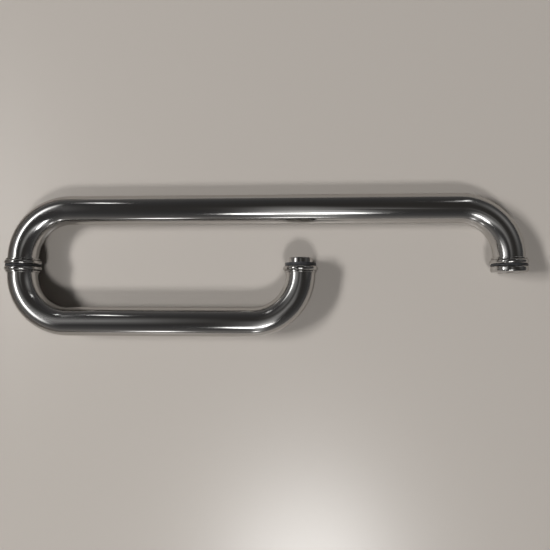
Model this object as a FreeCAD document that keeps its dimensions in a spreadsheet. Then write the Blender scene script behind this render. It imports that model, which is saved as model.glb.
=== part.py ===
import FreeCAD, Part
import math
import os

import Sketcher
from FreeCAD import Placement, Rotation, Vector

# Back-to-back set for a glass shower door: a long towel bar and a shorter pull handle, two
# D-shaped bends of polished tube that share one post through a stud. The free post of each one
# is closed from the far side of the glass by its own cap.
# +X runs along the bar, +Y points from the pull to the bar along the posts, +Z is up.
# The origin is on the shared post's axis, where the two joint gaskets meet.

doc = FreeCAD.newDocument("shower_door_handle")

# Driving sizes in millimetres
SIZES = (
    ("bar_centres", "300"),
    ("pull_centres", "175"),
    ("tube_dia", "18"),
    ("tube_wall", "1"),
    ("bend_radius", "30"),
    ("post_straight", "0.4"),
    ("ring_thick", "3.9"),
    ("ring_floor", "1.6"),
    ("ring_lip", "1.8"),
    ("ring_land", "0.5"),
    ("bead_thick", "2.9"),
    ("collar_lip", "0.9"),
    ("collar_round", "0.4"),
    ("seat_clearance", "0.05"),
    ("gasket_thick", "0.5"),
    ("gasket_inset", "0.5"),
    ("washer_dia", "19"),
    ("washer_thick", "1.5"),
    ("thread_dia", "6"),
    ("thread_clearance", "0.3"),
    ("thread_chamfer", "0.6"),
    ("insert_wall", "3"),
    ("insert_boss", "7"),
    ("insert_relief", "0.2"),
    ("insert_chamfer", "0.5"),
    ("stud_length", "20"),
    ("cap_inset", "0.3"),
    ("cap_thick", "3.9"),
    ("cap_round", "1.3"),
    ("cap_screw_head", "11.6"),
    ("cap_screw_length", "16"),
    ("cap_screw_socket", "4"),
    ("cap_screw_socket_depth", "1.6"),
    ("pull_screw_head", "15"),
    ("pull_screw_head_thick", "3.2"),
    ("pull_screw_head_round", "0.8"),
    ("pull_screw_length", "12"),
    ("pull_screw_socket", "5"),
    ("pull_screw_socket_depth", "1.8"),
)
sheet = doc.addObject("Spreadsheet::Sheet", "Sizes")
for row, (alias, millimetres) in enumerate(SIZES, start=1):
    sheet.set("A%d" % row, alias)
    sheet.set("B%d" % row, millimetres)
    sheet.setAlias("B%d" % row, alias)
doc.recompute()

# Sizes that follow from the driving ones, written as the sheet's own expressions
TUBE_RADIUS = "Sizes.tube_dia / 2"
TUBE_BORE_RADIUS = "(Sizes.tube_dia / 2 - Sizes.tube_wall)"
TUBE_END = "(Sizes.gasket_thick + Sizes.ring_floor)"
TUBE_STRAIGHT = "(Sizes.ring_thick - Sizes.ring_floor + Sizes.post_straight)"
RING_RADIUS = "(Sizes.tube_dia / 2 + Sizes.ring_lip)"
RING_SEAT_RADIUS = "(Sizes.tube_dia / 2 + Sizes.seat_clearance)"
RING_FACE_RADIUS = "(Sizes.tube_dia / 2 + Sizes.ring_land)"
RIM_RISE = "(Sizes.ring_lip - Sizes.ring_land)"
RIM_RADIUS = "(((Sizes.bead_thick / 2) ^ 2 + %s ^ 2) / (2 * %s))" % (RIM_RISE, RIM_RISE)
COLLAR_RADIUS = "(Sizes.tube_dia / 2 + Sizes.collar_lip)"
GASKET_RADIUS = "(%s - Sizes.gasket_inset)" % RING_RADIUS
WASHER_RADIUS = "Sizes.washer_dia / 2"
THREAD_RADIUS = "Sizes.thread_dia / 2"
THREAD_HOLE_RADIUS = "(Sizes.thread_dia / 2 + Sizes.thread_clearance)"
CAP_RADIUS = "(%s - Sizes.cap_inset)" % RING_RADIUS
CAP_FACE = "(Sizes.gasket_thick + Sizes.cap_thick)"
PULL_CAP_FACE = "(Sizes.washer_thick + Sizes.pull_screw_head_thick)"

# A piece is drawn standing on the glass, its post along +Y; the pull's side is turned over
BAR_SIDE = Rotation()
PULL_SIDE = Rotation(Vector(1, 0, 0), 180)

subparts = []


def number(expression):
    """Value in millimetres that one of the sheet's expressions has now."""
    return float(sheet.evalExpression(expression))


def new_body(name, side, place_x, place_y):
    """Empty body of one sub-part, set on its post's axis by two expressions."""
    body = doc.addObject("PartDesign::Body", name)
    body.Label = name
    body.Placement = Placement(Vector(0, 0, 0), side)
    body.setExpression("Placement.Base.x", place_x)
    body.setExpression("Placement.Base.y", place_y)
    subparts.append(body)
    return body


def new_sketch(body, role, name):
    """Empty sketch on one of the body's own origin planes."""
    plane = [feature for feature in body.Origin.OriginFeatures if feature.Role == role][0]
    sketch = body.newObject("Sketcher::SketchObject", name)
    sketch.AttachmentSupport = (plane, "")
    sketch.MapMode = "FlatFace"
    return sketch


def drive(sketch, constraint, expression):
    """Adds a sized constraint to a sketch and binds it to an expression of the sheet."""
    index = sketch.addConstraint(constraint)
    sketch.setExpression("Constraints[%d]" % index, expression)


def pin_corner(sketch, edge, radius, height):
    """Holds the first point of an edge at a radius from the post's axis and a height along it."""
    if radius == "0":
        sketch.addConstraint(Sketcher.Constraint("PointOnObject", edge, 1, -2))
    else:
        drive(sketch, Sketcher.Constraint("DistanceX", -1, 1, edge, 1, number(radius)), radius)
    if height == "0":
        sketch.addConstraint(Sketcher.Constraint("PointOnObject", edge, 1, -1))
    else:
        drive(sketch, Sketcher.Constraint("DistanceY", -1, 1, edge, 1, number(height)), height)


def turned(body, corners, round_edge=None, round_radius=None):
    """Solid turned from an outline of (radius, height) corners about the post's axis.

    One edge of the outline may be a round one that bulges outward with the given radius.
    """
    sketch = new_sketch(body, "XY_Plane", body.Name + "_outline")
    points = [Vector(number(radius), number(height), 0) for radius, height in corners]
    ends = points[1:] + points[:1]
    for edge, (start, end) in enumerate(zip(points, ends)):
        if edge == round_edge:
            bulge = Vector((start.x + end.x) / 2 + number(RIM_RISE), (start.y + end.y) / 2, 0)
            sketch.addGeometry(Part.Arc(start, bulge, end))
        else:
            sketch.addGeometry(Part.LineSegment(start, end))
    for edge in range(len(points)):
        following = (edge + 1) % len(points)
        sketch.addConstraint(Sketcher.Constraint("Coincident", edge, 2, following, 1))
    for edge, (radius, height) in enumerate(corners):
        pin_corner(sketch, edge, radius, height)
    if round_edge is not None:
        constraint = Sketcher.Constraint("Radius", round_edge, number(round_radius))
        drive(sketch, constraint, round_radius)
    turn = body.newObject("PartDesign::Revolution", body.Name + "_turn")
    turn.Profile = sketch
    turn.ReferenceAxis = (sketch, ["V_Axis"])
    turn.Angle = 360
    doc.recompute()
    return turn


def ring_sketch(body, name, outer, inner):
    """Two circles about the post's axis, seen along it."""
    sketch = new_sketch(body, "XZ_Plane", name)
    for edge, radius in enumerate((outer, inner)):
        sketch.addGeometry(Part.Circle(Vector(0, 0, 0), Vector(0, 0, 1), number(radius)))
        sketch.addConstraint(Sketcher.Constraint("Coincident", edge, 3, -1, 1))
        drive(sketch, Sketcher.Constraint("Radius", edge, number(radius)), radius)
    return sketch


def rounded(body, base, radius, limit, chosen):
    """Fillet on the circular edges of the base that the test picks, held within its wall."""
    names = ["Edge%d" % (place + 1) for place, edge in enumerate(base.Shape.Edges) if chosen(edge)]
    fillet = body.newObject("PartDesign::Fillet", body.Name + "_round")
    fillet.Base = (base, names)
    fillet.setExpression("Radius", "min(%s; %s)" % (radius, limit))
    doc.recompute()
    return fillet


def is_circle(edge, radius, height=None):
    """True for a full circle of this radius about the post's axis, at a height if one is given."""
    curve = edge.Curve
    if not isinstance(curve, Part.Circle) or abs(curve.Radius - radius) > 1e-4:
        return False
    return height is None or abs(edge.BoundBox.Center.y - height) < 1e-4


def hex_socket(body, across_flats, depth):
    """Hexagon cut into the face at height 0, along the post's axis."""
    before = body.Shape.Volume
    sketch = new_sketch(body, "XZ_Plane", body.Name + "_hexagon")
    corner_radius = "%s / sqrt(3)" % across_flats
    size = number(corner_radius)
    turns = [Rotation(Vector(0, 0, 1), 60 * side) for side in range(7)]
    points = [turn.multVec(Vector(size, 0, 0)) for turn in turns]
    for start, end in zip(points[:6], points[1:]):
        sketch.addGeometry(Part.LineSegment(start, end))
    circle = sketch.addGeometry(Part.Circle(Vector(0, 0, 0), Vector(0, 0, 1), size), True)
    sketch.addConstraint(Sketcher.Constraint("Coincident", circle, 3, -1, 1))
    for side in range(6):
        sketch.addConstraint(Sketcher.Constraint("Coincident", side, 2, (side + 1) % 6, 1))
        sketch.addConstraint(Sketcher.Constraint("PointOnObject", side, 1, circle))
    for side in range(1, 6):
        sketch.addConstraint(Sketcher.Constraint("Equal", 0, side))
    sketch.addConstraint(Sketcher.Constraint("PointOnObject", 0, 1, -1))
    drive(sketch, Sketcher.Constraint("Radius", circle, size), corner_radius)
    pocket = body.newObject("PartDesign::Pocket", body.Name + "_socket")
    pocket.Profile = sketch
    pocket.setExpression("Length", depth)
    doc.recompute()
    if body.Shape.Volume > before - 0.5 * number("(%s) ^ 2 * %s" % (across_flats, depth)):
        raise ValueError("the hexagon of %s cut nothing" % body.Label)


# Bent tubes: each is one hollow tube, up from its ring, round a bend, along the grip and back
def bent_tube(name, side, centres, place_y):
    """Hollow tube swept along two straight posts, two tangent bends and the grip between them."""
    body = new_body(name, side, "0", place_y)
    span = number(centres)
    rise = number(TUBE_STRAIGHT)
    bend = number("Sizes.bend_radius")
    up = Vector(0, 0, 1)
    route = new_sketch(body, "XY_Plane", name + "_route")
    near_bend = Part.Circle(Vector(bend, rise, 0), up, bend)
    far_bend = Part.Circle(Vector(span - bend, rise, 0), up, bend)
    quarter = math.pi / 2
    route.addGeometry(Part.LineSegment(Vector(0, 0, 0), Vector(0, rise, 0)))
    route.addGeometry(Part.ArcOfCircle(near_bend, quarter, 2 * quarter))
    route.addGeometry(Part.LineSegment(Vector(bend, rise + bend, 0), Vector(span - bend, rise + bend, 0)))
    route.addGeometry(Part.ArcOfCircle(far_bend, 0, quarter))
    route.addGeometry(Part.LineSegment(Vector(span, rise, 0), Vector(span, 0, 0)))
    route.addConstraint(Sketcher.Constraint("Coincident", 0, 1, -1, 1))
    route.addConstraint(Sketcher.Constraint("Vertical", 0))
    route.addConstraint(Sketcher.Constraint("Tangent", 0, 2, 1, 2))
    route.addConstraint(Sketcher.Constraint("Tangent", 1, 1, 2, 1))
    route.addConstraint(Sketcher.Constraint("Horizontal", 2))
    route.addConstraint(Sketcher.Constraint("Tangent", 2, 2, 3, 2))
    route.addConstraint(Sketcher.Constraint("Tangent", 3, 1, 4, 1))
    route.addConstraint(Sketcher.Constraint("Equal", 1, 3))
    route.addConstraint(Sketcher.Constraint("PointOnObject", 4, 2, -1))
    drive(route, Sketcher.Constraint("DistanceY", 0, 1, 0, 2, rise), TUBE_STRAIGHT)
    drive(route, Sketcher.Constraint("Radius", 1, bend), "Sizes.bend_radius")
    drive(route, Sketcher.Constraint("DistanceX", 0, 1, 4, 2, span), centres)
    section = ring_sketch(body, name + "_section", TUBE_RADIUS, TUBE_BORE_RADIUS)
    pipe = body.newObject("PartDesign::AdditivePipe", name + "_sweep")
    pipe.Profile = section
    pipe.Spine = (route, ["Edge%d" % (edge + 1) for edge in range(5)])
    doc.recompute()


bent_tube("towel_bar_tube", BAR_SIDE, "Sizes.bar_centres", TUBE_END)
bent_tube("pull_handle_tube", PULL_SIDE, "Sizes.pull_centres", "-" + TUBE_END)

# The four posts, each with its threaded insert, its ring and the gasket that meets the glass
POSTS = (
    ("bar_joint", BAR_SIDE, "0", GASKET_RADIUS),
    ("bar_free", BAR_SIDE, "Sizes.bar_centres", GASKET_RADIUS),
    ("pull_joint", PULL_SIDE, "0", GASKET_RADIUS),
    ("pull_free", PULL_SIDE, "Sizes.pull_centres", WASHER_RADIUS),
)


def threaded_insert(name, side, place_x):
    """Tapped plug that fills the straight end of the tube, with a slimmer boss up into the bend."""
    collar_top = "(%s + %s - Sizes.insert_relief)" % (TUBE_END, TUBE_STRAIGHT)
    boss_top = "(%s + Sizes.insert_boss)" % collar_top
    boss_radius = "(Sizes.thread_dia / 2 + Sizes.insert_wall)"
    body = new_body(name, side, place_x, "0")
    turned(body, (
        (THREAD_RADIUS, TUBE_END),
        (TUBE_BORE_RADIUS, TUBE_END),
        (TUBE_BORE_RADIUS, collar_top),
        (boss_radius, collar_top),
        (boss_radius, "(%s - Sizes.insert_chamfer)" % boss_top),
        ("(%s - Sizes.insert_chamfer)" % boss_radius, boss_top),
        (THREAD_RADIUS, boss_top),
    ))


def post_ring(name, side, place_x):
    """Turned ring: a half-round bead next to the glass, and a slimmer collar towards the tube.

    The tube's end stands in the recess, on the ring's floor.
    """
    bead_top = "(Sizes.gasket_thick + Sizes.bead_thick)"
    top = "(Sizes.gasket_thick + Sizes.ring_thick)"
    body = new_body(name, side, place_x, "0")
    turn = turned(body, (
        (THREAD_HOLE_RADIUS, "Sizes.gasket_thick"),
        (RING_FACE_RADIUS, "Sizes.gasket_thick"),
        (RING_FACE_RADIUS, bead_top),
        (COLLAR_RADIUS, bead_top),
        (COLLAR_RADIUS, top),
        (RING_SEAT_RADIUS, top),
        (RING_SEAT_RADIUS, TUBE_END),
        (THREAD_HOLE_RADIUS, TUBE_END),
    ), round_edge=1, round_radius=RIM_RADIUS)
    rounded(body, turn, "Sizes.collar_round", "0.45 * (Sizes.ring_thick - Sizes.bead_thick)",
            lambda edge: is_circle(edge, number(COLLAR_RADIUS), number(top)))


def flat_gasket(name, side, place_x, radius, thickness):
    """Thin plastic ring that keeps metal off the glass."""
    body = new_body(name, side, place_x, "0")
    pad = body.newObject("PartDesign::Pad", name + "_pad")
    pad.Profile = ring_sketch(body, name + "_outline", radius, THREAD_HOLE_RADIUS)
    pad.Reversed = True
    pad.setExpression("Length", thickness)
    doc.recompute()


for post, side, place_x, gasket_radius in POSTS:
    threaded_insert(post + "_insert", side, place_x)
    post_ring(post + "_ring", side, place_x)
    flat_gasket(post + "_gasket", side, place_x, gasket_radius, "Sizes.gasket_thick")

# Shared post: a headless stud screws into both joint inserts and draws the rings together
joint_stud = new_body("joint_stud", BAR_SIDE, "0", "-Sizes.stud_length / 2")
turned(joint_stud, (
    ("0", "0"),
    ("(%s - Sizes.thread_chamfer)" % THREAD_RADIUS, "0"),
    (THREAD_RADIUS, "Sizes.thread_chamfer"),
    (THREAD_RADIUS, "(Sizes.stud_length - Sizes.thread_chamfer)"),
    ("(%s - Sizes.thread_chamfer)" % THREAD_RADIUS, "Sizes.stud_length"),
    ("0", "Sizes.stud_length"),
))

# Free post of the bar: a thick cap on its own gasket, held by a countersunk screw
SCREW_HEAD_RADIUS = "Sizes.cap_screw_head / 2"
flat_gasket("bar_cap_gasket", PULL_SIDE, "Sizes.bar_centres", GASKET_RADIUS, "Sizes.gasket_thick")

bar_cap = new_body("bar_cap", BAR_SIDE, "Sizes.bar_centres", "-" + CAP_FACE)
bar_cap_turn = turned(bar_cap, (
    (SCREW_HEAD_RADIUS, "0"),
    (CAP_RADIUS, "0"),
    (CAP_RADIUS, "Sizes.cap_thick"),
    (THREAD_HOLE_RADIUS, "Sizes.cap_thick"),
    (THREAD_HOLE_RADIUS, "(%s - %s)" % (SCREW_HEAD_RADIUS, THREAD_HOLE_RADIUS)),
))
rounded(bar_cap, bar_cap_turn, "Sizes.cap_round", "0.45 * Sizes.cap_thick",
        lambda edge: is_circle(edge, number(CAP_RADIUS)))

bar_cap_screw = new_body("bar_cap_screw", BAR_SIDE, "Sizes.bar_centres", "-" + CAP_FACE)
turned(bar_cap_screw, (
    ("0", "0"),
    (SCREW_HEAD_RADIUS, "0"),
    (THREAD_RADIUS, "(%s - %s)" % (SCREW_HEAD_RADIUS, THREAD_RADIUS)),
    (THREAD_RADIUS, "(Sizes.cap_screw_length - Sizes.thread_chamfer)"),
    ("(%s - Sizes.thread_chamfer)" % THREAD_RADIUS, "Sizes.cap_screw_length"),
    ("0", "Sizes.cap_screw_length"),
))
hex_socket(bar_cap_screw, "Sizes.cap_screw_socket", "Sizes.cap_screw_socket_depth")

# Free post of the pull: a flat-headed screw on a washer narrower than the ring
flat_gasket("pull_cap_gasket", BAR_SIDE, "Sizes.pull_centres", WASHER_RADIUS, "Sizes.washer_thick")

PULL_HEAD_RADIUS = "Sizes.pull_screw_head / 2"
PULL_SCREW_TIP = "(Sizes.pull_screw_head_thick + Sizes.pull_screw_length)"
pull_cap_screw = new_body("pull_cap_screw", PULL_SIDE, "Sizes.pull_centres", PULL_CAP_FACE)
pull_cap_screw_turn = turned(pull_cap_screw, (
    ("0", "0"),
    (PULL_HEAD_RADIUS, "0"),
    (PULL_HEAD_RADIUS, "Sizes.pull_screw_head_thick"),
    (THREAD_RADIUS, "Sizes.pull_screw_head_thick"),
    (THREAD_RADIUS, "(%s - Sizes.thread_chamfer)" % PULL_SCREW_TIP),
    ("(%s - Sizes.thread_chamfer)" % THREAD_RADIUS, PULL_SCREW_TIP),
    ("0", PULL_SCREW_TIP),
))
rounded(pull_cap_screw, pull_cap_screw_turn, "Sizes.pull_screw_head_round",
        "0.45 * Sizes.pull_screw_head_thick",
        lambda edge: is_circle(edge, number(PULL_HEAD_RADIUS), 0))
hex_socket(pull_cap_screw, "Sizes.pull_screw_socket", "Sizes.pull_screw_socket_depth")

# Nothing is written until every object has built and each piece is one sound solid
doc.recompute()
for item in doc.Objects:
    if "Invalid" in item.State or "Error" in item.State:
        raise ValueError("%s did not build" % item.Label)
for body in subparts:
    if body.Shape.isNull() or not body.Shape.isValid() or len(body.Shape.Solids) != 1:
        raise ValueError("%s is not one sound solid" % body.Label)

os.makedirs("parts", exist_ok=True)
for body in subparts:
    body.Shape.exportStep("parts/%s.step" % body.Label)
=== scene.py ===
import math

import bpy
import numpy as np
from mathutils import Matrix, Vector


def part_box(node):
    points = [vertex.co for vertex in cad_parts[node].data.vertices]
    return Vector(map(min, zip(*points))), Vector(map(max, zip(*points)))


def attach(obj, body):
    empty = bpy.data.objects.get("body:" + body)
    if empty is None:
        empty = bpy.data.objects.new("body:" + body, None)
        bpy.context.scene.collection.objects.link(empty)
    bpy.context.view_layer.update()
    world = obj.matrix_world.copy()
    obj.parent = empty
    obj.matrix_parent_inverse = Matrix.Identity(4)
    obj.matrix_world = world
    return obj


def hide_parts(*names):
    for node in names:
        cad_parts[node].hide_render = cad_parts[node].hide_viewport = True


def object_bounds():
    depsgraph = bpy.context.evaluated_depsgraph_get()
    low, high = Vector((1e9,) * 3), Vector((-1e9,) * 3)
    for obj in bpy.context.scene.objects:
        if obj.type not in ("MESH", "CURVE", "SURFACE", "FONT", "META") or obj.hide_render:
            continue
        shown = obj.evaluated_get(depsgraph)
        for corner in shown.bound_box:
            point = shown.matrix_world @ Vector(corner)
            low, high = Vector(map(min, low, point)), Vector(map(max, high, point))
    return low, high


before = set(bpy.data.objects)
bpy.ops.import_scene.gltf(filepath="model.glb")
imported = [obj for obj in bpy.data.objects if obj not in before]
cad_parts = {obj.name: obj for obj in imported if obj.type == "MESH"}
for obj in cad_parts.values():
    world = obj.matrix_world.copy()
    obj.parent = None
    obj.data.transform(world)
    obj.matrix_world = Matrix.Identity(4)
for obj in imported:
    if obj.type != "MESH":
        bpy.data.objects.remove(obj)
cad_box = [list(corner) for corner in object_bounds()]

# Bent tubes
# The towel bar and the pull handle are each one length of thin round stainless tube, bent cold
# at both ends and buffed to a mirror, by hand and so a little hazier round the bends. Each end
# stands in the recess of a post ring.
BAR_SIDE = 1
PULL_SIDE = -1
TUBE_WALL = 0.001
BEND_RADIUS = 0.030
TUBE_STEPS_AROUND = 96
POST_STEPS = 5
BEND_STEPS = 72
GRIP_STEPS = 48
SHARP_EDGE = math.radians(32)
MIRROR_TINT = (0.55, 0.54, 0.525, 1.0)
SMEAR_TINT = (0.51, 0.50, 0.485, 1.0)
EDGE_TINT = (0.76, 0.75, 0.74, 1.0)
MARK_RANGE = (0.3, 0.7)
MARK_ROUGHNESS = (0.07, 0.10)
MARK_DEPTH = 0.000003
TUBE_MARK_SCALE = (45.0, 4500.0, 1.0)
SMEAR_SCALE = 60.0
SMEAR_RANGE = (0.5, 0.78)
SMEAR_ROUGHNESS = 0.06
HAZE_RISE = 3.0
HAZE_ROUGHNESS = 0.045
RIPPLE_SCALE = 28.0
RIPPLE_DEPTH = 0.00005


def tube_route(span, foot, reach):
    """Centre line of a bent tube: up a post, a quarter circle, along the grip and back down.

    Each step has a place (along the span, height above the glass), the direction across the tube
    that points out of the bend, which turns through half a circle from post to post, and its haze:
    none on the grip, full on the posts and bends, and fading over the last third of a radian.
    """
    shoulder = reach - BEND_RADIUS
    post = np.linspace(foot, shoulder, POST_STEPS)[:-1]
    turn = np.linspace(0.0, math.pi / 2, BEND_STEPS + 1)
    grip = np.linspace(BEND_RADIUS, span - BEND_RADIUS, GRIP_STEPS + 1)[1:-1]
    along = np.concatenate([
        np.zeros_like(post),
        BEND_RADIUS * (1 - np.cos(turn)),
        grip,
        span - BEND_RADIUS + BEND_RADIUS * np.sin(turn),
        np.full_like(post, span),
    ])
    height = np.concatenate([
        post,
        shoulder + BEND_RADIUS * np.sin(turn),
        np.full_like(grip, reach),
        shoulder + BEND_RADIUS * np.cos(turn),
        post[::-1],
    ])
    lean = np.concatenate([
        np.zeros_like(post),
        turn,
        np.full_like(grip, math.pi / 2),
        math.pi / 2 + turn,
        np.full_like(post, math.pi),
    ])
    centre = np.stack([along, height], axis=-1)
    outward = np.stack([-np.cos(lean), np.sin(lean)], axis=-1)
    haze = np.clip(HAZE_RISE * np.abs(lean - math.pi / 2), 0, 1)
    return centre, outward, haze


def hollow_tube(centre, outward, radius, side):
    """Skin of a hollow tube: a circle round each step of the centre line.

    The rows go out along the outer wall and come back along the bore, one wall thinner, so the
    grid closes on itself both ways. Also gives the distance along the rows and round the tube.
    """
    steps = len(centre)
    there_and_back = np.concatenate([np.arange(steps), np.arange(steps)[::-1]])
    row_radius = np.repeat([radius, radius - TUBE_WALL], steps)[:, None]
    middle = centre[there_and_back][:, None]
    across = outward[there_and_back][:, None]
    angle = np.linspace(0.0, 2 * math.pi, TUBE_STEPS_AROUND + 1)
    flat = middle + (row_radius * np.cos(angle[:-1]))[..., None] * across
    depth = row_radius * np.sin(angle[:-1])
    points = np.stack([flat[..., 0], side * flat[..., 1], side * depth], axis=-1)
    stride = np.linalg.norm(np.diff(centre[there_and_back], axis=0), axis=-1)
    along = np.concatenate([[0.0], np.cumsum(stride), [stride.sum()]])
    return points, along, radius * angle


def skin(name, points, closed_rows, along=None, around=None, haze=None):
    """Mesh of a grid of points whose columns close round the piece.

    The rows also close on themselves, or else the first and the last row are each filled by a
    fan about their own centre. The faces are turned so that the enclosed volume is positive.
    A tube also keeps its distances along and around on its faces, and its haze on its points.
    """
    rows, columns = points.shape[:2]
    index = np.arange(rows * columns).reshape(rows, columns)
    near = index if closed_rows else index[:-1]
    far = np.roll(index, -1, axis=0) if closed_rows else index[1:]
    quads = np.stack([near, np.roll(near, -1, axis=1), np.roll(far, -1, axis=1), far], axis=-1)
    quads = quads.reshape(-1, 4)
    places = points.reshape(-1, 3)
    fans = np.empty((0, 3), dtype=int)
    if not closed_rows:
        poles = len(places) + np.repeat([[0], [1]], columns, axis=1)
        places = np.concatenate([places, [points[0].mean(axis=0), points[-1].mean(axis=0)]])
        fans = np.concatenate([
            np.stack([np.roll(index[0], -1), index[0], poles[0]], axis=-1),
            np.stack([index[-1], np.roll(index[-1], -1), poles[1]], axis=-1),
        ])
    thirds = np.concatenate([quads[:, [0, 1, 2]], quads[:, [0, 2, 3]], fans])
    first, second, third = np.moveaxis(places[thirds], 1, 0)
    inside_out = np.sum(first * np.cross(second, third)) < 0
    if inside_out:
        quads = quads[:, ::-1]
        fans = fans[:, ::-1]
    mesh = bpy.data.meshes.new(name)
    mesh.from_pydata(places, [], quads.tolist() + fans.tolist())
    if along is not None:
        row, column = np.divmod(np.arange(rows * columns), columns)
        row_step = np.array([0, 0, 1, 1])
        column_step = np.array([0, 1, 1, 0])
        measured = np.stack([
            along[row[:, None] + row_step],
            around[column[:, None] + column_step],
        ], axis=-1)
        if inside_out:
            measured = measured[:, ::-1]
        mesh.uv_layers.new(name="lengthwise").data.foreach_set("uv", measured.ravel())
    if haze is not None:
        hazy = np.repeat(np.concatenate([haze, haze[::-1]]), columns)
        mesh.attributes.new("haze", "FLOAT", "POINT").data.foreach_set("value", hazy)
    mesh.shade_smooth()
    mesh.set_sharp_from_angle(angle=SHARP_EDGE)
    piece = bpy.data.objects.new(name, mesh)
    bpy.context.scene.collection.objects.link(piece)
    return piece


def fit(piece, solid, material):
    """Gives a finished piece its material and sets it in place of its solid on the fixed body."""
    piece.data.materials.append(material)
    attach(piece, "root")
    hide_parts(solid)


def bare_material(name):
    """New material with a principled shader, and that shader's tree and node."""
    material = bpy.data.materials.new(name)
    material.use_nodes = True
    tree = material.node_tree
    return material, tree, tree.nodes["Principled BSDF"]


def shader_node(tree, kind, sockets, **settings):
    """New shader node; a socket in the list is given either a plain value or a link."""
    made = tree.nodes.new(kind)
    for name, value in settings.items():
        setattr(made, name, value)
    for key, value in sockets.items():
        if isinstance(value, bpy.types.NodeSocket):
            tree.links.new(value, made.inputs[key])
        else:
            made.inputs[key].default_value = value
    return made


def spread(tree, value, source, target):
    """Carries a value from the source range to the target range in a straight line, no further."""
    return shader_node(tree, "ShaderNodeMapRange", {
        "Value": value,
        "From Min": source[0],
        "From Max": source[1],
        "To Min": target[0],
        "To Max": target[1],
    }).outputs["Result"]


def shaded(tree, value, stops):
    """Colour of a value: each stop has its place and its colour, and between stops they blend."""
    made = shader_node(tree, "ShaderNodeValToRGB", {"Fac": value})
    elements = made.color_ramp.elements
    for element, (place, colour) in zip(elements, (stops[0], stops[-1])):
        element.position = place
        element.color = colour
    for place, colour in stops[1:-1]:
        elements.new(place).color = colour
    return made.outputs["Color"]


def relief(tree, height, depth, **below):
    """Surface direction over a relief as high as depth x height, on a coarser one if named."""
    return shader_node(tree, "ShaderNodeBump", {
        "Height": height,
        "Strength": 1.0,
        "Distance": depth,
        **below,
    }).outputs["Normal"]


def mirror_steel(name, marks, mark_scale):
    """Buffed stainless steel: a clear mirror with fine marks from the wheel and broad dull smears.

    The marks follow the coordinates in marks, stretched by mark_scale. Roughness is that of the
    marks, plus a share for smears from hands and water, plus a share for the piece's own haze.
    """
    material, tree, shader = bare_material(name)
    coords = shader_node(tree, "ShaderNodeTexCoord", {})
    stretched = shader_node(tree, "ShaderNodeMapping", {
        "Vector": coords.outputs[marks],
        "Scale": mark_scale,
    })
    wheel = shader_node(tree, "ShaderNodeTexNoise", {
        "Vector": stretched.outputs["Vector"],
        "Scale": 1.0,
        "Detail": 3.0,
        "Roughness": 0.6,
    }).outputs["Fac"]
    smear = shader_node(tree, "ShaderNodeTexNoise", {
        "Vector": coords.outputs["Object"],
        "Scale": SMEAR_SCALE,
        "Detail": 5.0,
        "Roughness": 0.58,
        "Distortion": 0.6,
    }).outputs["Fac"]
    wave = shader_node(tree, "ShaderNodeTexNoise", {
        "Vector": coords.outputs["Object"],
        "Scale": RIPPLE_SCALE,
        "Detail": 1.0,
    }).outputs["Fac"]
    haze = shader_node(tree, "ShaderNodeAttribute", {}, attribute_name="haze").outputs["Fac"]
    dull = spread(tree, smear, SMEAR_RANGE, (0.0, 1.0))
    smeared = shader_node(tree, "ShaderNodeMath", {
        0: dull,
        1: SMEAR_ROUGHNESS,
        2: spread(tree, wheel, MARK_RANGE, MARK_ROUGHNESS),
    }, operation="MULTIPLY_ADD").outputs["Value"]
    roughness = shader_node(tree, "ShaderNodeMath", {
        0: haze,
        1: HAZE_ROUGHNESS,
        2: smeared,
    }, operation="MULTIPLY_ADD").outputs["Value"]
    tint = shaded(tree, dull, ((0.0, MIRROR_TINT), (1.0, SMEAR_TINT)))
    ripple = relief(tree, wave, RIPPLE_DEPTH)
    scratched = relief(tree, wheel, MARK_DEPTH, Normal=ripple)
    shader.inputs["Metallic"].default_value = 1.0
    shader.inputs["Specular Tint"].default_value = EDGE_TINT
    tree.links.new(tint, shader.inputs["Base Color"])
    tree.links.new(roughness, shader.inputs["Roughness"])
    tree.links.new(scratched, shader.inputs["Normal"])
    return material


tube_steel = mirror_steel("mirror_buffed_tube", "UV", TUBE_MARK_SCALE)
tubes = {}
for tube_node, tube_name, side in (
    ("towel_bar_tube", "towel_bar_bend", BAR_SIDE),
    ("pull_handle_tube", "pull_handle_bend", PULL_SIDE),
):
    low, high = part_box(tube_node)
    radius = high.z
    foot, top = sorted((abs(low.y), abs(high.y)))
    centre, outward, haze = tube_route(high.x - radius, foot, top - radius)
    points, along, around = hollow_tube(centre, outward, radius, side)
    tubes[tube_node] = skin(tube_name, points, True, along, around, haze)
    fit(tubes[tube_node], tube_node, tube_steel)

# Threaded inserts
# Plain steel plugs, turned and tapped, that are welded inside the four ends of the tubes and
# take the stud and the screws. They are out of sight when the set is together.
INSERTS = ("bar_joint_insert", "bar_free_insert", "pull_joint_insert", "pull_free_insert")
TURNED_TINT = (0.48, 0.47, 0.46, 1.0)
TOOL_RING_SCALE = 900.0
TOOL_RING_ROUGHNESS = (0.24, 0.42)
TOOL_RING_DEPTH = 0.000006


def turned_steel(name):
    """Plain turned steel: fine rings left by the tool across the post's axis, uneven in gloss."""
    material, tree, shader = bare_material(name)
    coords = shader_node(tree, "ShaderNodeTexCoord", {})
    rings = shader_node(tree, "ShaderNodeTexWave", {
        "Vector": coords.outputs["Object"],
        "Scale": TOOL_RING_SCALE,
        "Distortion": 1.5,
        "Detail": 2.0,
    }, wave_type="BANDS", bands_direction="Y").outputs["Fac"]
    roughness = spread(tree, rings, (0.0, 1.0), TOOL_RING_ROUGHNESS)
    grooved = relief(tree, rings, TOOL_RING_DEPTH)
    shader.inputs["Metallic"].default_value = 1.0
    shader.inputs["Base Color"].default_value = TURNED_TINT
    tree.links.new(roughness, shader.inputs["Roughness"])
    tree.links.new(grooved, shader.inputs["Normal"])
    return material


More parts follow.
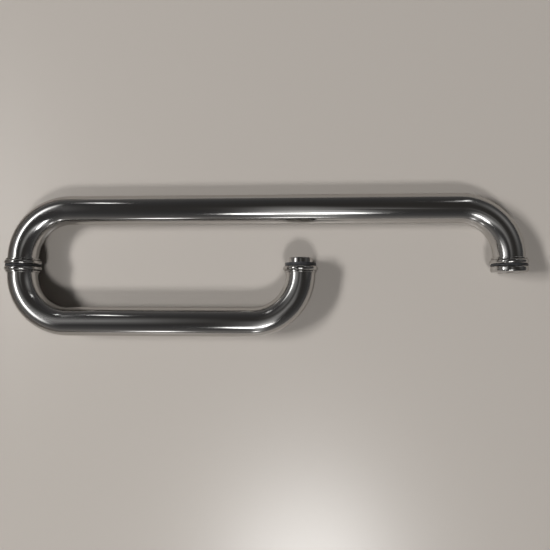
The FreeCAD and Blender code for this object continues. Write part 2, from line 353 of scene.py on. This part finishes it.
plain_steel = turned_steel("plain_turned_steel")
for insert in INSERTS:
    for kept_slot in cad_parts[insert].material_slots:
        kept_slot.material = plain_steel

# Post rings
# Four turned stainless rings, buffed like the tube: a half-round bead next to the glass and a
# slimmer collar towards the tube, whose end stands in the recess on the ring's floor.
RING_SEAT_GAP = 0.00005
RING_LAND = 0.0005
RING_FLOOR = 0.0016
RING_HOLE_RADIUS = 0.0033
RING_MARK_SCALE = (60.0, 3500.0, 60.0)
BEAD_THICK = 0.0029
BEAD_STEPS = 28
COLLAR_LIP = 0.0009
COLLAR_ROUND = 0.0004
TURNED_STEPS = 128
EDGE_STEPS = 7
EDGE_BREAK = 0.00008
FLOOR_BREAK = EDGE_BREAK / 4
FLAT_MARGIN = EDGE_BREAK / 2

tube_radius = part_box("pull_handle_tube")[1].z


def turned_size(solid):
    """Where a turned piece stands along the span, its radius, and its low and high ends."""
    low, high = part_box(solid)
    return (low.x + high.x) / 2, (high.x - low.x) / 2, low.y, high.y


def turned_grid(radius, height, post_x, side=BAR_SIDE):
    """Surface turned about a post: each row runs round the axis at its radius and its height."""
    angle = np.arange(TURNED_STEPS) * (2 * math.pi / TURNED_STEPS)
    x = post_x + radius * np.cos(angle)
    y = np.broadcast_to(side * height[:, None], x.shape)
    return np.stack([x, y, radius * np.sin(angle)], axis=-1)


def rounded_outline(corners, radii):
    """Open outline with each inner corner rounded by an arc of its own radius.

    The arc is tangent to both edges: its centre lies on the bisector, radius / sin(half the
    corner's angle) away. One more point on each side of it keeps the flat beside it flat.
    """
    corners = np.asarray(corners, dtype=float)
    radii = np.asarray(radii, dtype=float)[:, None]
    at = corners[1:-1]
    back = corners[:-2] - at
    onward = corners[2:] - at
    back /= np.linalg.norm(back, axis=-1, keepdims=True)
    onward /= np.linalg.norm(onward, axis=-1, keepdims=True)
    bisector = back + onward
    bisector /= np.linalg.norm(bisector, axis=-1, keepdims=True)
    crossing = onward - back
    crossing /= np.linalg.norm(crossing, axis=-1, keepdims=True)
    half = np.arccos(np.clip(np.sum(back * bisector, axis=-1, keepdims=True), -1, 1))
    middle = at + bisector * radii / np.sin(half)
    sweep = (math.pi / 2 - half) * np.linspace(-1, 1, EDGE_STEPS)
    arc = (middle[:, None]
           - (radii * np.cos(sweep))[..., None] * bisector[:, None]
           + (radii * np.sin(sweep))[..., None] * crossing[:, None])
    margin = (radii / np.tan(half) + FLAT_MARGIN)[:, None]
    before = at[:, None] + back[:, None] * margin
    after = at[:, None] + onward[:, None] * margin
    return np.concatenate([before, arc, after], axis=1)


def plain_rows(outline):
    """Points of an outline as rows of one radius all round, and their heights."""
    flat = outline.reshape(-1, 2)
    return np.repeat(flat[:, :1], TURNED_STEPS, axis=1), flat[:, 1]


def beaded_ring(base, top, rim):
    """Outline of a ring: a bead that is an arc through three points, a collar and a recess.

    The arc's radius is (half height squared + bulge squared) / (2 x bulge).
    """
    land = tube_radius + RING_LAND
    seat = tube_radius + RING_SEAT_GAP
    collar = tube_radius + COLLAR_LIP
    half = BEAD_THICK / 2
    bulge = rim - land
    arc_radius = (half ** 2 + bulge ** 2) / (2 * bulge)
    reach = math.asin(half / arc_radius)
    sweep = np.linspace(-reach, reach, BEAD_STEPS + 1)
    bead = np.stack([
        rim - arc_radius + arc_radius * np.cos(sweep),
        base + half + arc_radius * np.sin(sweep),
    ], axis=-1)
    shoulder = base + BEAD_THICK
    floor = base + RING_FLOOR
    inside = rounded_outline([
        (land, shoulder),
        (collar, shoulder),
        (collar, top),
        (seat, top),
        (seat, floor),
        (RING_HOLE_RADIUS, floor),
        (RING_HOLE_RADIUS, base),
    ], [EDGE_BREAK, COLLAR_ROUND, EDGE_BREAK, FLOOR_BREAK, EDGE_BREAK])
    return np.concatenate([bead, inside.reshape(-1, 2), [(RING_HOLE_RADIUS, base)]])


ring_steel = mirror_steel("mirror_buffed_ring", "Object", RING_MARK_SCALE)
for ring_node, ring_name, side in (
    ("bar_joint_ring", "bar_joint_bead", BAR_SIDE),
    ("bar_free_ring", "bar_free_bead", BAR_SIDE),
    ("pull_joint_ring", "pull_joint_bead", PULL_SIDE),
    ("pull_free_ring", "pull_free_bead", PULL_SIDE),
):
    post_x, rim, low_y, high_y = turned_size(ring_node)
    base, top = sorted((abs(low_y), abs(high_y)))
    ring_points = turned_grid(*plain_rows(beaded_ring(base, top, rim)), post_x, side)
    fit(skin(ring_name, ring_points, True), ring_node, ring_steel)

# Joint stud
# A headless threaded rod of plain steel. It screws into the two inserts of the shared post and
# draws the towel bar and the pull together on the glass.
THREAD_PITCH = 0.001
THREAD_DEPTH = 0.00055
THREAD_CHAMFER = 0.0006
ROWS_PER_PITCH = 12

low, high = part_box("joint_stud")
thread_crest = high.x
stud_length = high.y - low.y


def threaded_rod(near, far, plain=0.0):
    """Rows of a rod, as the radius all round and the height: near end, thread and far end.

    The thread is a triangular groove that climbs one pitch in each turn. It starts after a plain
    length of the rod, and its depth fades to nothing over half a pitch at each end.
    """
    near_radius, near_height = near
    far_radius, far_height = far
    start = near_height[-1]
    end = far_height[0]
    rows = round((end - start) / THREAD_PITCH * ROWS_PER_PITCH)
    height = np.linspace(start, end, rows + 1)[1:-1]
    turn = np.arange(TURNED_STEPS) / TURNED_STEPS
    climb = height[:, None] / THREAD_PITCH - turn
    groove = 1 - np.abs(2 * (climb - np.floor(climb)) - 1)
    from_end = np.minimum(height - (start + plain), end - height)
    fade = np.clip(from_end / (0.5 * THREAD_PITCH), 0, 1)
    thread_radius = thread_crest - THREAD_DEPTH * groove * fade[:, None]
    radius = np.concatenate([near_radius, thread_radius, far_radius])
    return radius, np.concatenate([near_height, height, far_height])


stud_ends = rounded_outline([
    (0, 0),
    (thread_crest - THREAD_CHAMFER, 0),
    (thread_crest, THREAD_CHAMFER),
    (thread_crest, stud_length - THREAD_CHAMFER),
    (thread_crest - THREAD_CHAMFER, stud_length),
    (0, stud_length),
], [EDGE_BREAK] * 4)
stud_radius, stud_height = threaded_rod(plain_rows(stud_ends[:2]), plain_rows(stud_ends[2:]))
stud_points = turned_grid(stud_radius, stud_height + low.y, 0.0)
fit(skin("shared_post_stud", stud_points, False), "joint_stud", plain_steel)

# Gaskets
# Flat rings punched from dark flexible plastic sheet. They lie loose under the rings, the cap
# and the flat screw head and keep the metal off the glass.
GASKET_EDGE = 0.00018
GASKET_TINT = (0.024, 0.024, 0.026, 1.0)
GRAIN_SCALE = 5000.0
GRAIN_DEPTH = 0.00001
SCUFF_TINT = (0.07, 0.07, 0.072, 1.0)
SCUFF_SCALE = 420.0
SCUFF_RANGE = (0.35, 0.7)
SCUFF_ROUGHNESS = (0.4, 0.62)


def punched_plastic(name):
    """Dark matt plastic sheet: a fine grain all over, and scuffs that are paler and duller."""
    material, tree, shader = bare_material(name)
    coords = shader_node(tree, "ShaderNodeTexCoord", {})
    grain = shader_node(tree, "ShaderNodeTexNoise", {
        "Vector": coords.outputs["Object"],
        "Scale": GRAIN_SCALE,
        "Detail": 3.0,
    }).outputs["Fac"]
    scuff = shader_node(tree, "ShaderNodeTexNoise", {
        "Vector": coords.outputs["Object"],
        "Scale": SCUFF_SCALE,
        "Detail": 4.0,
        "Roughness": 0.65,
    }).outputs["Fac"]
    tint = shaded(tree, scuff, ((0.42, GASKET_TINT), (0.8, SCUFF_TINT)))
    roughness = spread(tree, scuff, SCUFF_RANGE, SCUFF_ROUGHNESS)
    grained = relief(tree, grain, GRAIN_DEPTH)
    tree.links.new(tint, shader.inputs["Base Color"])
    tree.links.new(roughness, shader.inputs["Roughness"])
    tree.links.new(grained, shader.inputs["Normal"])
    return material


def closed_outline(corners, radii):
    """Outline that comes back to its start, with every corner rounded by its own radius."""
    return rounded_outline(corners[-1:] + corners + corners[:1], radii)


gasket_plastic = punched_plastic("punched_dark_plastic")
for gasket_node, gasket_name in (
    ("bar_joint_gasket", "bar_joint_pad"),
    ("pull_joint_gasket", "pull_joint_pad"),
    ("bar_free_gasket", "bar_free_pad"),
    ("bar_cap_gasket", "bar_cap_pad"),
    ("pull_free_gasket", "pull_free_pad"),
    ("pull_cap_gasket", "pull_cap_washer"),
):
    post_x, rim, low_y, high_y = turned_size(gasket_node)
    gasket_outline = closed_outline([
        (RING_HOLE_RADIUS, low_y),
        (rim, low_y),
        (rim, high_y),
        (RING_HOLE_RADIUS, high_y),
    ], [EDGE_BREAK, GASKET_EDGE, GASKET_EDGE, EDGE_BREAK])
    gasket_points = turned_grid(*plain_rows(gasket_outline), post_x)
    fit(skin(gasket_name, gasket_points, True), gasket_node, gasket_plastic)

# Cap of the towel bar
# A thick turned button with rounded edges, buffed like the rings, which closes the bar's free
# post from the far side of the glass. A countersunk screw in its middle pulls it tight.
CAP_ROUND = 0.0013
CAP_HEAD_RADIUS = 0.0058
CAP_SOCKET = 0.004
CAP_SOCKET_DEPTH = 0.0016
CAP_PLAIN_SHANK = 0.002
SOCKET_CORNERS = 2


def socket_screw(socket, depth, head, head_radii, plain, length):
    """Screw with a hexagon socket, as rows from the socket's floor round the head to the tip.

    In the socket the radius at each angle is the hexagon's: corner x cos 30 / cos(angle within
    its side - 30), where the corner is the width across flats / root 3. Under the head comes a
    plain length, and then the thread down to the chamfered tip.
    """
    corner = socket / math.sqrt(3)
    outline = rounded_outline([
        (0, depth),
        (corner, depth),
        (corner, 0),
        *head,
        (thread_crest, length - THREAD_CHAMFER),
        (thread_crest - THREAD_CHAMFER, length),
        (0, length),
    ], [EDGE_BREAK, EDGE_BREAK, *head_radii, EDGE_BREAK, EDGE_BREAK])
    head_radius, head_height = plain_rows(outline[:-2])
    angle = np.arange(TURNED_STEPS) * (2 * math.pi / TURNED_STEPS)
    within = np.mod(angle, math.pi / 3) - math.pi / 6
    in_socket = SOCKET_CORNERS * outline.shape[1]
    head_radius[:in_socket] *= math.cos(math.pi / 6) / np.cos(within)
    return threaded_rod((head_radius, head_height), plain_rows(outline[-2:]), plain)


cap_x, cap_radius, cap_low, cap_high = turned_size("bar_cap")
cap_outline = closed_outline([
    (CAP_HEAD_RADIUS, cap_low),
    (cap_radius, cap_low),
    (cap_radius, cap_high),
    (RING_HOLE_RADIUS, cap_high),
    (RING_HOLE_RADIUS, cap_low + CAP_HEAD_RADIUS - RING_HOLE_RADIUS),
], [EDGE_BREAK, CAP_ROUND, CAP_ROUND, EDGE_BREAK, EDGE_BREAK])
cap_points = turned_grid(*plain_rows(cap_outline), cap_x)
fit(skin("bar_end_button", cap_points, True), "bar_cap", ring_steel)

low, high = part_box("bar_cap_screw")
cap_screw_head = [(CAP_HEAD_RADIUS, 0), (thread_crest, CAP_HEAD_RADIUS - thread_crest)]
screw_radius, screw_height = socket_screw(
    CAP_SOCKET, CAP_SOCKET_DEPTH, cap_screw_head, [EDGE_BREAK] * 2, CAP_PLAIN_SHANK, high.y - low.y)
screw_points = turned_grid(screw_radius, screw_height + low.y, cap_x)
fit(skin("bar_end_screw", screw_points, False), "bar_cap_screw", plain_steel)

# Screw of the pull
# A wide flat-headed screw turned from stainless bar and buffed, which closes the pull's free
# post on a plastic washer. A hexagon key turns it.
PULL_HEAD_THICK = 0.0032
PULL_HEAD_ROUND = 0.0008
PULL_SOCKET = 0.005
PULL_SOCKET_DEPTH = 0.0018
PULL_PLAIN_SHANK = 0.0005

pull_x, pull_head_radius, pull_low, pull_high = turned_size("pull_cap_screw")
pull_screw_head = [
    (pull_head_radius, 0),
    (pull_head_radius, PULL_HEAD_THICK),
    (thread_crest, PULL_HEAD_THICK),
]
screw_radius, screw_height = socket_screw(
    PULL_SOCKET, PULL_SOCKET_DEPTH, pull_screw_head, [PULL_HEAD_ROUND, EDGE_BREAK, EDGE_BREAK],
    PULL_PLAIN_SHANK, pull_high - pull_low)
screw_points = turned_grid(screw_radius, pull_high - screw_height, pull_x)
fit(skin("pull_end_screw", screw_points, False), "pull_cap_screw", ring_steel)

# Table
# The set lies on a pale satin table top. It rests on the rings and on the grip of the heavier
# towel bar, so it leans a little and the pull stands clear of the table.
TABLE_HALF = 4.0
TABLE_TINT = (0.42, 0.385, 0.35, 1.0)
TABLE_ROUGHNESS = 0.32


def flat_sheet(name, corners, finish, tint, roughness):
    """Flat sheet of one plain finish between four corners, beside the set and no part of it."""
    mesh = bpy.data.meshes.new(name)
    mesh.from_pydata(np.stack(corners, axis=-1), [], [(0, 1, 2, 3)])
    material, _, shader = bare_material(finish)
    shader.inputs["Base Color"].default_value = tint
    shader.inputs["Roughness"].default_value = roughness
    mesh.materials.append(material)
    sheet = bpy.data.objects.new(name, mesh)
    bpy.context.scene.collection.objects.link(sheet)
    return sheet


bar_low, bar_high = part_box("towel_bar_tube")
ring_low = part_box("bar_joint_ring")[0]
ring_rest = Vector((0, ring_low.y + BEAD_THICK / 2, ring_low.z))
grip_rest = Vector((0, bar_high.y - tube_radius, bar_low.z))
table_slope = (grip_rest.z - ring_rest.z) / (grip_rest.y - ring_rest.y)
table_x = np.array([-TABLE_HALF, TABLE_HALF, TABLE_HALF, -TABLE_HALF])
table_y = np.array([-TABLE_HALF, -TABLE_HALF, TABLE_HALF, TABLE_HALF])
table_z = ring_rest.z + table_slope * (table_y - ring_rest.y)
table_top = flat_sheet(
    "table_top", [table_x, table_y, table_z], "satin_table", TABLE_TINT, TABLE_ROUGHNESS)

# Shaded card
# A strip of grey card stands on the table just out of view to the left, with its shaded side to
# the set. The steel mirrors it along the left posts and bends, and it is seen in no other way.
CARD_X = -0.05
CARD_TOP = 0.026
CARD_HALF = 0.25
CARD_TINT = (0.5, 0.48, 0.46, 1.0)
CARD_ROUGHNESS = 0.8

card_x = np.full(4, CARD_X)
card_y = np.array([-CARD_HALF, CARD_HALF, CARD_HALF, -CARD_HALF])
card_z = np.array([ring_rest.z, ring_rest.z, CARD_TOP, CARD_TOP])
shaded_card = flat_sheet(
    "shaded_card", [card_x, card_y, card_z], "grey_card", CARD_TINT, CARD_ROUGHNESS)
shaded_card.visible_camera = False
shaded_card.visible_diffuse = False
shaded_card.visible_shadow = False

# Room light
# Two bright lamps, in front of the set and to its left, and a weak ceiling light the table. Soft
# panels beside them and low on the walls are there for the steel to mirror, and fade outward.
# Each row has the angles from straight up, across and away, the extent, the distance and the glow.
FAR = 3.5
NEAR_FRONT = 0.95
NEAR_LEFT = 0.56
LAMPS = (
    ("front_lamp", (2, -39), (12, 10), FAR, 33.0),
    ("left_lamp", (-48.4, 2.5), (20, 6), FAR, 62.0),
    ("ceiling", (0, 0), (60, 60), FAR, 0.03),
)
TABLE_GLARE = ("table_glare", (2, -39), (12, 10), FAR, 22.0)
SHINES = (
    ("front_left_shine", (-6, -44), (14, 18), NEAR_FRONT, 11.0),
    ("front_right_shine", (7, -44), (18, 18), NEAR_FRONT, 11.0),
    ("front_halo", (2, -41), (26, 60), NEAR_FRONT, 0.6),
    ("front_glow", (2, -38), (30, 120), NEAR_FRONT, 0.35),
    ("right_glow", (7, -30), (14, 40), FAR, 0.35),
    ("right_high_glow", (11, -8), (10, 30), FAR, 0.14),
    ("high_glow", (4, -8), (40, 60), FAR, 0.07),
    ("right_back_glow", (47, 26), (64, 50), FAR, 0.2),
    ("left_shine", (-49, 4), (70, 14), NEAR_LEFT, 6.5),
    ("left_glow", (-45, 2), (70, 42), FAR, 0.8),
    ("front_low_shine", (0, -79), (14, 11), FAR, 4.0),
    ("left_low_shine", (-25, -78), (12, 8), FAR, 6.0),
    ("back_left_shine", (-27, 46), (4, 13), FAR, 5.0),
    ("back_right_shine", (26, 45), (5, 26), FAR, 4.0),
)
PULL_GLOW = ("pull_glow", (-25, 4), (66, 38), FAR, 0.2)
DARKEST_WAY = (0.25, 0.10, 0.963)
ROOM_SHADES = (
    (0.0, (0.20, 0.192, 0.185, 1.0)),
    (0.3, (0.09, 0.088, 0.088, 1.0)),
    (0.6, (0.05, 0.05, 0.051, 1.0)),
    (0.95, (0.038, 0.036, 0.034, 1.0)),
)

set_middle = Vector(((cad_box[0][0] + cad_box[1][0]) / 2, 0, 0))


def hang_panel(name, angles, extent, distance, glow):
    """Flat panel that faces the set, placed by angle.

    Its distance from straight up is the length of the pair of angles, and its bearing is their
    direction. Extent is in degrees across, and the power is 4 x glow x area.
    """
    across, away = angles
    tilt = math.radians(math.hypot(across, away))
    bearing = math.atan2(away, across)
    aim = Vector((
        math.sin(tilt) * math.cos(bearing),
        math.sin(tilt) * math.sin(bearing),
        math.cos(tilt),
    ))
    light = bpy.data.lights.new(name, "AREA")
    light.shape = "RECTANGLE"
    light.size = 2 * distance * math.tan(math.radians(extent[0] / 2))
    light.size_y = 2 * distance * math.tan(math.radians(extent[1] / 2))
    light.energy = 4 * glow * light.size * light.size_y
    panel = bpy.data.objects.new(name, light)
    panel.location = set_middle + distance * aim
    panel.rotation_euler = aim.to_track_quat("Z", "Y").to_euler()
    panel.visible_camera = False
    bpy.context.scene.collection.objects.link(panel)
    return panel


def hang_shine(*row):
    """Panel seen in reflections only, with a glow that is the square of the way in from its rim."""
    shine = hang_panel(*row)
    shine.visible_diffuse = False
    shine.data.use_nodes = True
    tree = shine.data.node_tree
    spot = shader_node(tree, "ShaderNodeNewGeometry", {})
    centred = shader_node(tree, "ShaderNodeMapping", {
        "Vector": spot.outputs["Parametric"],
        "Location": (-1.0, -1.0, 0.0),
        "Scale": (2.0, 2.0, 1.0),
    })
    fade = shader_node(tree, "ShaderNodeTexGradient", {
        "Vector": centred.outputs["Vector"],
    }, gradient_type="QUADRATIC_SPHERE")
    tree.links.new(fade.outputs["Fac"], tree.nodes["Emission"].inputs["Strength"])
    return shine


for row in LAMPS:
    hang_panel(*row).visible_glossy = False

table_only = bpy.data.collections.new("table_only")
table_only.objects.link(table_top)
glare = hang_panel(*TABLE_GLARE)
glare.visible_diffuse = False
glare.light_linking.receiver_collection = table_only

for row in SHINES:
    hang_shine(*row)

pull_only = bpy.data.collections.new("pull_only")
pull_only.objects.link(tubes["pull_handle_tube"])
hang_shine(*PULL_GLOW).light_linking.receiver_collection = pull_only

room = bpy.data.worlds.new("dim_room")
room.use_nodes = True
room_tree = room.node_tree
direction = shader_node(room_tree, "ShaderNodeTexCoord", {})
climb = shader_node(room_tree, "ShaderNodeVectorMath", {
    0: direction.outputs["Generated"],
    1: DARKEST_WAY,
}, operation="DOT_PRODUCT")
walls = shaded(room_tree, climb.outputs["Value"], ROOM_SHADES)
room_tree.links.new(walls, room_tree.nodes["Background"].inputs["Color"])
bpy.context.scene.world = room

# Camera
# Held almost straight above the middle of the towel bar, about a third of a metre away. The focal
# length and half the picture's width are in pixels, and the place is along the camera's own axes.
PICTURE_HALF = 275.0
FOCAL = 470.0
ROLL = math.radians(-0.171)
PITCH = math.radians(-3.05)
YAW = math.radians(-2.889)
EYE = Vector((0.159060, -0.005986, 0.297186))
NEAREST_SEEN = 0.01

camera_turn = (Matrix.Rotation(ROLL, 3, "Z")
               @ Matrix.Rotation(PITCH, 3, "X")
               @ Matrix.Rotation(YAW, 3, "Y")).transposed()
view_camera = bpy.data.cameras.new("overhead_camera")
view_camera.sensor_fit = "HORIZONTAL"
view_camera.angle = 2 * math.atan(PICTURE_HALF / FOCAL)
view_camera.clip_start = NEAREST_SEEN
eye = bpy.data.objects.new("overhead_camera", view_camera)
eye.matrix_world = Matrix.Translation(camera_turn @ EYE) @ camera_turn.to_4x4()
bpy.context.scene.collection.objects.link(eye)
bpy.context.scene.camera = eye
bpy.context.scene.view_settings.view_transform = "Standard"
